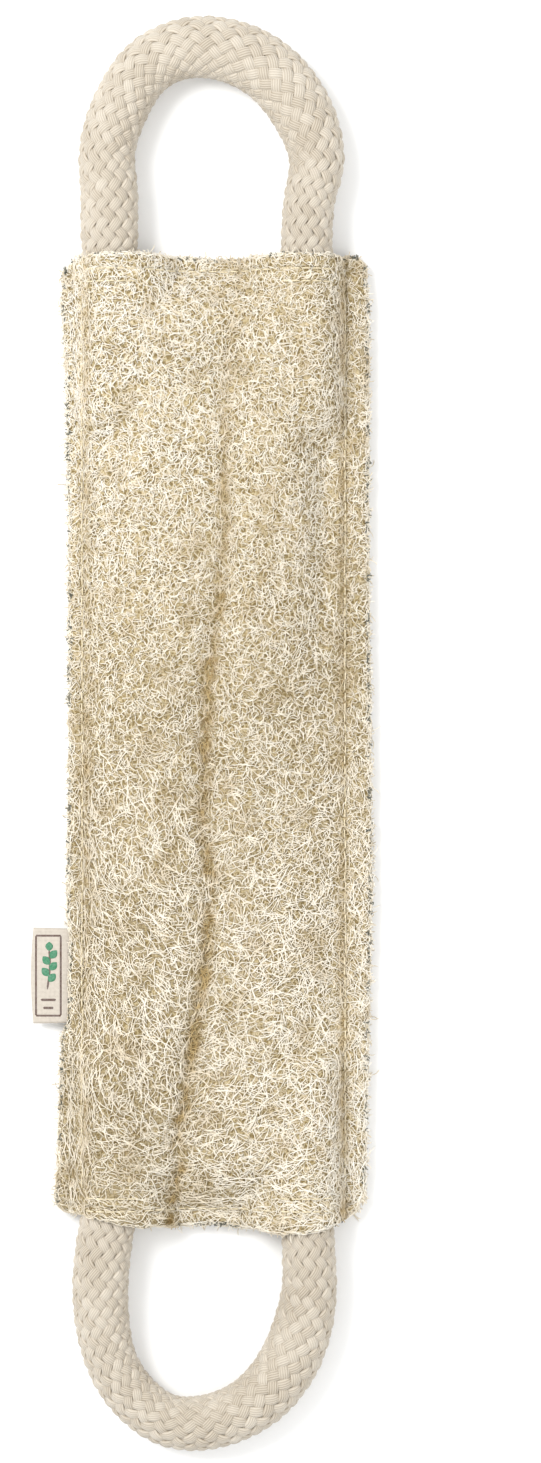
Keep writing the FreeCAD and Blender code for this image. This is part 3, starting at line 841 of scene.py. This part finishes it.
def fibre_flow(spots):
    """The way fibres lie, as a level direction and how strongly they keep to it."""
    x, y = spots[:, 0], spots[:, 1]
    lower = smooth_step((30 - y) / 90)
    left = smooth_step((4 - x) / 24)
    angle = np.where(x < -10, -0.95, 0.12) + 0.5 * waves(x, y, 40, 21)
    angle = angle * (1 - smooth_step((-y - 105) / 35) * 0.75)
    margin = smooth_step((np.abs(x) - 38) / 4)
    angle = angle * (1 - margin) + margin * (-1.3)
    strength = 0.03 + 0.14 * lower * left + 0.05 * lower + 0.03 * margin
    strength = strength + 0.10 * smooth_step((-y - 120) / 20)
    return np.stack([np.cos(angle), np.sin(angle), 0 * angle], 1), strength


def walk_fibres(tree, spots, normals, step, curl, lift, arch, tuck=0.45, follow=1.0):
    """Fibres that creep over a surface: points of shape (count, rings, 3).

    curl is how sharply each one bends, lift its height over the surface, arch how far its
    middle stands up; the tips are tucked under.
    """
    count = len(spots)
    heading = unit(rng.normal(size=(count, 3)))
    heading = unit(heading - normals * (heading * normals).sum(1, keepdims=True))
    bend = rng.normal(0, 1, count) * curl
    place = spots.copy()
    rise = lift[:, None] + arch[:, None] * np.sin(
        np.linspace(0, math.pi, FIBRE_RINGS))[None]
    rise[:, 0] -= tuck
    rise[:, -1] -= tuck
    out = np.empty((count, FIBRE_RINGS, 3))
    step = np.broadcast_to(step, (count,))[:, None]
    for ring in range(FIBRE_RINGS):
        normal = np.empty((count, 3))
        for i in range(count):
            found, facing, _, _ = tree.find_nearest(place[i])
            place[i] = found
            normal[i] = facing
        out[:, ring] = place + normal * rise[:, ring, None]
        heading = unit(heading - normal * (heading * normal).sum(1, keepdims=True))
        sideways = np.cross(normal, heading)
        flow, strength = fibre_flow(place)
        toward = (flow * heading).sum(1)
        turn = np.sign(toward) * (flow * sideways).sum(1) * strength * follow
        bend = 0.85 * bend + rng.normal(0, 0.6, count) * curl
        angle = bend * step[:, 0] + turn
        heading = unit(heading * np.cos(angle)[:, None] + sideways * np.sin(angle)[:, None])
        place = place + heading * step
    return out


def open_holes(lines, centres, radii, reach=4):
    """Push fibres sideways out of round holes, so they wrap round the rims."""
    points = lines.reshape(-1, 3)
    order = np.argsort(centres[:, 1])
    centres, radii = centres[order], radii[order]
    low = np.searchsorted(centres[:, 1], points[:, 1] - reach)
    high = np.searchsorted(centres[:, 1], points[:, 1] + reach)
    widest = int((high - low).max())
    for offset in range(widest):
        pick = np.minimum(low + offset, len(centres) - 1)
        used = low + offset < high
        gap = points - centres[pick]
        flat = gap.copy()
        flat[:, 2] *= 0.35
        away = np.maximum(np.linalg.norm(flat, axis=1), 1e-3)
        push = np.where(used & (away < radii[pick]), radii[pick] / away - 1, 0)
        push = np.minimum(push, 3.0)
        points[:, :2] += gap[:, :2] * push[:, None]
    return points.reshape(lines.shape)


def seam_calm(spots):
    """1 in the open mat, near 0 on the seams, where the thread presses fibres down."""
    gap = np.minimum(np.abs(spots[:, 0] - SEAM_X[0]), np.abs(spots[:, 0] - SEAM_X[1]))
    gap = np.minimum(gap, np.abs(np.abs(spots[:, 1]) - END_SEAM_Y))
    return 1 - 0.75 * np.exp(-(gap / 1.1) ** 2)


def stain_at(points):
    """How far the fibres are browned, from 0 to 1: real stains along the seams, and down the
    crease browner fibres together with painted shade of the fold.
    """
    x, y = points[..., 0], points[..., 1]
    patchy = 0.62 + 0.4 * waves(x, y, 14, 31) + 0.35 * waves(x, y, 5, 33)
    # The crease term is partly painted shade: the fold's shadow put into the colour.
    crease = np.exp(-((x - crease_at(y) - 0.4) / 2.2) ** 2) * (1.3 - 0.9 * smooth_step(
        (y - 10) / 130))
    right = 0.8 * np.exp(-((x - SEAM_X[1] + 0.6) / 1.8) ** 2)
    left = 0.5 * np.exp(-((x - SEAM_X[0] - 1.6) / 2.0) ** 2)
    spots = 0.7 * smooth_step((waves(x, y, 17, 32) - 0.45) / 0.3)
    return np.clip((crease + right + left) * patchy + 0.4 * spots, 0, 1)


def clear_of_label(lines):
    """True for fibres that leave the label room to bend where it comes out of the rim."""
    beside = (lines[..., 1] > LABEL_LOW[1] - 0.6) & (lines[..., 1] < LABEL_HIGH[1] + 0.6)
    return ~(beside & (lines[..., 0] < -49.0)).any(axis=1)


def add_fibres(name, lines, radius, tint, mat):
    """Split fibres into pieces small enough to save, each riding the pad."""
    kept = clear_of_label(lines)
    lines, tint = lines[kept], tint[kept]
    uneven = 0.8 + 0.4 * rng.random(lines.shape[:2])
    radius = radius[kept, None] * uneven
    lines = clear_of_floor(lines + rng.normal(0, 0.05, lines.shape))
    for number, start in enumerate(range(0, len(lines), FIBRES_EACH)):
        part = slice(start, start + FIBRES_EACH)
        piece_name = f"{name}_{number + 1}"
        mesh = tubes(piece_name, lines[part], radius[part], 3, tint=tint[part, None],
                     stain=stain_at(lines[part]))
        pad_piece(piece_name, mesh, mat, "loofah")


def clear_of_floor(lines):
    """Nothing goes under the plane the pad rests on."""
    lines[..., 2] = np.maximum(lines[..., 2], 0.22)
    return lines


def front_fibres(front):
    tree = surface_tree(front)

    def hole_density(spots, normals):
        crease = np.exp(-((spots[:, 0] - crease_at(spots[:, 1])) / 5) ** 2)
        patchy = smooth_step((waves(spots[:, 0], spots[:, 1], 30, 12) + 0.2) / 0.6)
        return (normals[:, 2] > 0.25) * (0.55 + 1.1 * crease + 0.15 * patchy)

    centres, _ = scatter(front, HOLES, hole_density)
    radii = 0.3 + 0.5 * rng.random(HOLES) ** 2.4

    def open_face(_, normals):
        return (normals[:, 2] > -0.2) * (1 + 1.2 * (normals[:, 2] < 0.4))

    for name, count, mat in (("front_deep_fibres", DEEP_FIBRES, FIBRE_DEEP_SHADED),
                             ("front_fibres", TOP_FIBRES, FIBRE_TOP)):
        deep = name == "front_deep_fibres"
        spots, normals = scatter(front, count, open_face)
        lower = smooth_step((20 - spots[:, 1]) / 80)
        sweeping = (rng.random(count) < 0.16 * lower) & (not deep)
        layer = rng.random(count)
        calm = seam_calm(spots)
        lift = (0.04 + 0.16 * layer if deep else 0.24 + 0.3 * layer + 0.1 * sweeping) * calm
        arch = (0.05 + 0.2 * rng.random(count)) * calm
        length = 3.4 + 2.6 * rng.random(count) + np.where(sweeping, 3 + 4.5 * layer, lower)
        curl = np.where(sweeping, 0.13, 0.42 - 0.05 * lower)
        lines = walk_fibres(tree, spots, normals, length / FIBRE_RINGS, curl, lift, arch,
                            follow=np.where(sweeping, 1.5, 0.35))
        lines = clear_of_floor(open_holes(lines, centres, radii * (0.8 if deep else 1.0)))
        radius = 0.125 + 0.045 * rng.random(count) + (0.03 if deep else 0.02 * sweeping)
        # The tint is paler at the upper left, lower right and towards the top, and darker at the
        # lower left and upper right; deep fibres take this more strongly.
        zone = -0.16 - 0.3 * (spots[:, 0] / 40) * (spots[:, 1] / 150)
        zone = (zone + 0.32 * smooth_step(spots[:, 1] / 110)) * (1.8 if deep else 0.8)
        # Fibres lying lower (smaller layer) and the deep layer get a darker tint: painted shade
        # of the fibres above.
        tint = (0.34 + 0.3 * rng.random(count) + 0.25 * layer + zone + 0.12 * sweeping
                - 0.1 * deep)
        order = np.argsort(-spots[:, 1])
        add_fibres(name, lines[order], radius[order], tint[order], mat)


def back_fibres(back):
    tree = surface_tree(back)

    def under_face(_, normals):
        return (normals[:, 2] < 0.3) * 1.0 + 0.5 * (np.abs(normals[:, 2]) < 0.5)

    count = BACK_FIBRES
    spots, normals = scatter(back, count, under_face)
    layer = rng.random(count)
    lift = (0.02 + 0.3 * layer) * seam_calm(spots)
    length = 7 + 7 * rng.random(count)
    lines = walk_fibres(tree, spots, normals, length / FIBRE_RINGS, 0.12, lift,
                        0.1 * rng.random(count), tuck=0.25, follow=0.4)
    lines = clear_of_floor(lines)
    # Back fibres lying lower get a darker tint: painted shade.
    add_fibres("back_fibres", lines, 0.17 + 0.06 * rng.random(count),
               0.15 + 0.6 * layer, FIBRE_TOP)


def frayed_fibres():
    """Short cut ends that stick out all round the rim, some curling back over it. Those set low
    on the rim take half the tint, and some short ones a near-black material: both painted shadow
    under the rim.
    """
    count = RIM_FIBRES
    turn = rng.random(count)
    long_side = HALF_Y / (HALF_Y + HALF_X)
    on_side = rng.random(count) < long_side
    sign = np.where(rng.random(count) < 0.5, -1.0, 1.0)
    x = np.where(on_side, sign * (HALF_X - 0.6), (2 * turn - 1) * (HALF_X - 2))
    y = np.where(on_side, (2 * turn - 1) * (HALF_Y - 2), sign * (HALF_Y - 0.6))
    outward = np.stack([np.where(on_side, sign, 0), np.where(on_side, 0, sign), 0 * x], 1)
    upper = rng.random(count) < 0.55
    z = np.where(upper, 5.2 + 2.0 * rng.random(count), 0.6 + 3.2 * rng.random(count))
    over_rope = ~on_side & (np.minimum(np.abs(x - TAIL_X[0]), np.abs(x - TAIL_X[1])) < 12)
    z = np.where(over_rope & upper, front_height(x, y) - 0.4 - 1.2 * rng.random(count), z)
    moved_x, moved_y = outline_shift(x, y, extra=0.2)
    spots = np.stack([moved_x, moved_y, z], 1)
    heading = unit(outward * 0.8 + 0.75 * rng.normal(size=(count, 3)) * [1, 1, 0.6])
    length = 1.6 + 3.0 * rng.random(count) ** 2
    stray = rng.random(count) < 0.03
    length = np.where(stray, length + 3, length)
    step = (length / FIBRE_RINGS)[:, None]
    bend = unit(rng.normal(size=(count, 3))) * 0.34
    place = spots - heading * 0.8
    lines = np.empty((count, FIBRE_RINGS, 3))
    for ring in range(FIBRE_RINGS):
        lines[:, ring] = place
        place = place + heading * step
        heading = unit(heading + np.cross(bend, heading))
    lines = clear_of_floor(lines)
    radius = 0.13 + 0.07 * rng.random(count)
    # Rim fibres set low (not upper) get half the tint: painted shade under the pad's edge.
    tint = rng.random(count) * np.where(upper, 1.0, 0.5)
    clumps = waves(moved_x, moved_y, 9, 41) > -0.3
    # Some short rim fibres are drawn near-black: painted shadow between and under the rim
    # fibres.
    dark = (rng.random(count) < 0.6) & clumps & (length < 2.8)
    add_fibres("frayed_fibres", lines[~dark], radius[~dark], tint[~dark], FIBRE_TOP)
    # The painted-shadow specks, moved a little outwards and up.
    cut = lines[dark] + outward[dark, None] * 0.3 + np.array([0, 0, 0.3])
    add_fibres("painted_shadow_specks", cut, radius[dark] * 1.35, tint[dark] * 0.5, FIBRE_PAINTED_SHADOW)


front_mat = make_front()
back_mat = make_back()
front_fibres(front_mat)
back_fibres(back_mat)
frayed_fibres()


# ---- sewing ------------------------------------------------------------------------------

def surface_heights(tree, x, y, from_front=True):
    """Where a line straight down (or up) through each point meets the mats, in mm."""
    start, way = (40.0, -1.0) if from_front else (-10.0, 1.0)
    found = [tree.ray_cast((float(a), float(b), start), (0, 0, way))[0]
             for a, b in zip(np.ravel(x), np.ravel(y))]
    heights = [spot[2] if spot is not None else 4.4 for spot in found]
    return np.array(heights).reshape(np.shape(x))


def stitch_lines(tree, starts, ends, from_front, stand):
    """Each stitch lies on the mat and dips through it at both ends."""
    share = np.linspace(0, 1, 9)[None, :, None]
    flat = starts[:, None] * (1 - share) + ends[:, None] * share
    z = surface_heights(tree, flat[..., 0], flat[..., 1], from_front)
    arc = np.minimum(1, 2.4 * np.sin(math.pi * share[..., 0])) * (stand + 0.7) - 0.7
    z = z + arc if from_front else np.maximum(z - arc, 0.3)
    return np.concatenate([flat, z[..., None]], 2)


def add_stitches(name, lines, node):
    pad_piece(name, tubes(name, lines, 0.26, 6), THREAD, "sewing_thread", node)


def sew(front_tree, back_tree):
    """Lock stitches round the pad, front and back, and tacks across the rope tails."""
    sides = ((front_tree, True, "needle", 0.7), (back_tree, False, "bobbin", 0.2))
    upward, rightward = (STITCH - 0.5) * np.array([[0, 1], [1, 0]])
    for tree, from_front, thread, stand in sides:
        for edge in SIDES + ENDS:
            node = f"{edge}_seam_{thread}_thread"
            low, high = box_mm(node)
            long_side = edge in SIDES
            run, level = (1, 0) if long_side else (0, 1)
            along = np.arange(low[run], high[run] - STITCH, STITCH)
            across = (low[level] + high[level]) / 2 + rng.normal(0, 0.12, len(along))
            starts = np.stack([across, along] if long_side else [along, across], 1)
            lines = stitch_lines(tree, starts, starts + (upward if long_side else rightward),
                                 from_front, stand)
            add_stitches(f"{edge}_{thread}_stitches", lines, node)
    for tail in TAILS:
        node = f"{tail}_rope_tack"
        low, high = box_mm(node)
        lines = []
        for y in (low[1] + 0.4, high[1] - 0.4):
            x = np.arange(low[0] + 1.5, high[0] - STITCH, STITCH)
            starts = np.stack([x, np.full(len(x), y)], 1)
            for tree, from_front, _, stand in sides:
                lines.append(stitch_lines(tree, starts, starts + rightward, from_front, stand))
        add_stitches(f"{tail}_tack_stitches", np.concatenate(lines), node)


def wind_whippings():
    """Thread wound round each rope tail inside the pad, so the braid can't open."""
    thick = 0.9
    for tail in TAILS:
        node = f"{tail}_whipping"
        low, high = box_mm(node)
        middle = (low + high) / 2
        radius = (high[0] - low[0] - thick) / 2
        turns = (high[1] - low[1] - thick) / (thick + 0.02)
        turn = np.linspace(0, 2 * math.pi * turns, int(turns * 22))
        y = np.linspace(low[1] + thick / 2, high[1] - thick / 2, len(turn))
        line = np.stack([middle[0] + radius * np.cos(turn), y,
                         middle[2] + radius * np.sin(turn)], 1)
        pad_piece(node + "_thread", tubes(node, line[None], 0.44, 6), THREAD,
                  "sewing_thread", node)


# ---- label -------------------------------------------------------------------------------

def label_surface(x, y):
    """The top of the upper ply: it droops a little towards its fold and ripples."""
    out = np.clip((LABEL_HIGH[0] - x) / (LABEL_HIGH[0] - LABEL_LOW[0]), 0, 1)
    along = (y - LABEL_LOW[1]) / (LABEL_HIGH[1] - LABEL_LOW[1])
    return LABEL_HIGH[2] - 0.15 + out ** 2 * (0.5 * np.sin(math.pi * along) - 0.75)


def make_label():
    """A strip of twill folded over, both ends sewn in between the mats."""
    thick, gap = 0.34, 0.36
    inner_x = box_mm("label_tail")[1][0] - 0.9
    fold_x = LABEL_LOW[0] + 0.45
    straight = np.linspace(inner_x, fold_x, 30)
    bend = math.pi * np.arange(1, 8) / 8
    turn = (thick + gap) / 2
    centre_x = np.concatenate([straight, fold_x - turn * np.sin(bend), straight[::-1]])
    centre_z = np.concatenate([0 * straight + turn, turn * np.cos(bend), 0 * straight - turn])
    path = np.stack([centre_x, centre_z], 1)
    along = unit(np.gradient(path, axis=0))
    outward = np.stack([along[:, 1], -along[:, 0]], 1)
    outer, inner = path + outward * thick / 2, path - outward * thick / 2
    rows, columns = 34, len(path)
    y = np.linspace(LABEL_LOW[1], LABEL_HIGH[1], rows)
    points = []
    for level in y:
        part = (level - y[0]) / (y[-1] - y[0])
        for edge in (outer, inner):
            x = edge[:, 0]
            out = np.clip((LABEL_HIGH[0] - x) / (LABEL_HIGH[0] - fold_x), 0, 1)
            bulge = out * (0.15 - 0.75 * math.sin(math.pi * part))
            skew = 0.5 * (x + 50) / 10 * (0.5 - part)
            lift = label_surface(x, level) - turn - thick / 2
            points.append(np.stack([x + bulge, level + skew, edge[:, 1] + lift], 1))
    points = np.concatenate(points)
    index = np.arange(rows * 2 * columns).reshape(rows, 2, columns)
    outs, ins = index[:, 0], index[:, 1]
    # The four edges join the cloth's outer side to its inner one.
    edges = ((outs[:, 0], ins[:, 0]), (ins[:, -1], outs[:, -1]), (ins[0], outs[0]),
             (outs[-1], ins[-1]))
    faces = [grid_quads(outs), grid_quads(ins)[:, ::-1]]
    faces += [np.stack([one[:-1], one[1:], other[1:], other[:-1]], 1) for one, other in edges]
    mesh = new_mesh("label", points, np.concatenate(faces))
    label = new_object("label_cloth", mesh, CANVAS)
    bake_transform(label)
    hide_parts("label_flap", "label_tail")


def add_print(name, lines, radius, mat):
    """Flat shapes on the label: tubes pressed down to a film just above the cloth."""
    mesh = tubes(name, lines, radius, 10)
    points = points_of(mesh)
    points[:, 2] = label_surface(points[:, 0], points[:, 1]) + 0.02 + 0.09 * points[:, 2]
    mesh.vertices.foreach_set("co", (points * MM).ravel())
    mesh.update()
    piece = new_object(name, mesh, mat)
    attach(piece, "label")


def print_label():
    """A plain leaf sprig over two short bars, in a thin brown frame."""
    middle = (LABEL_LOW[1] + LABEL_HIGH[1]) / 2
    brown = print_material("brown_print", (0.085, 0.045, 0.03))
    green = print_material("green_print", (0.02, 0.17, 0.075))
    share = np.linspace(0, 1, 14)
    x = -55.4 + 0.9 * np.sin(2.4 * share)
    y = middle - 4.6 + 13.2 * share
    add_print("label_stem", np.stack([x, y, 0 * x], 1)[None], 0.34, brown)
    leaves = []
    for place, way in ((0.20, 1), (0.34, -1), (0.48, 1), (0.62, -1), (0.77, 1), (0.95, 0)):
        root = np.array([np.interp(place, share, x), np.interp(place, share, y), 0.0])
        reach = np.array([2.3 * way, 2.6 if way else 3.0, 0.0])
        leaves.append(root + share[:, None] * reach)
    add_print("label_leaves", leaves, 1.3 * np.sin(math.pi * share) ** 0.8, green)
    bars = [np.stack([-55.0 + half * (2 * share - 1), 0 * share + middle - drop, 0 * share], 1)
            for drop, half in ((7.8, 2.5), (10.4, 1.7))]
    add_print("label_bars", bars, 0.42, brown)
    left, right, low, high = -59.0, -51.0, middle - 12.9, middle + 12.9
    share = np.concatenate([[0, 0.01], np.linspace(0.1, 0.9, 9), [0.99, 1]])[:, None]
    sides = [np.array([*start, 0]) * (1 - share) + np.array([*stop, 0]) * share
             for start, stop in (((left, low), (left, high)), ((right, low), (right, high)),
                                 ((left, low), (right, low)), ((left, high), (right, high)))]
    add_print("label_border", sides, 0.33, brown)


sew(surface_tree(front_mat), surface_tree(back_mat))
wind_whippings()
make_label()
print_label()
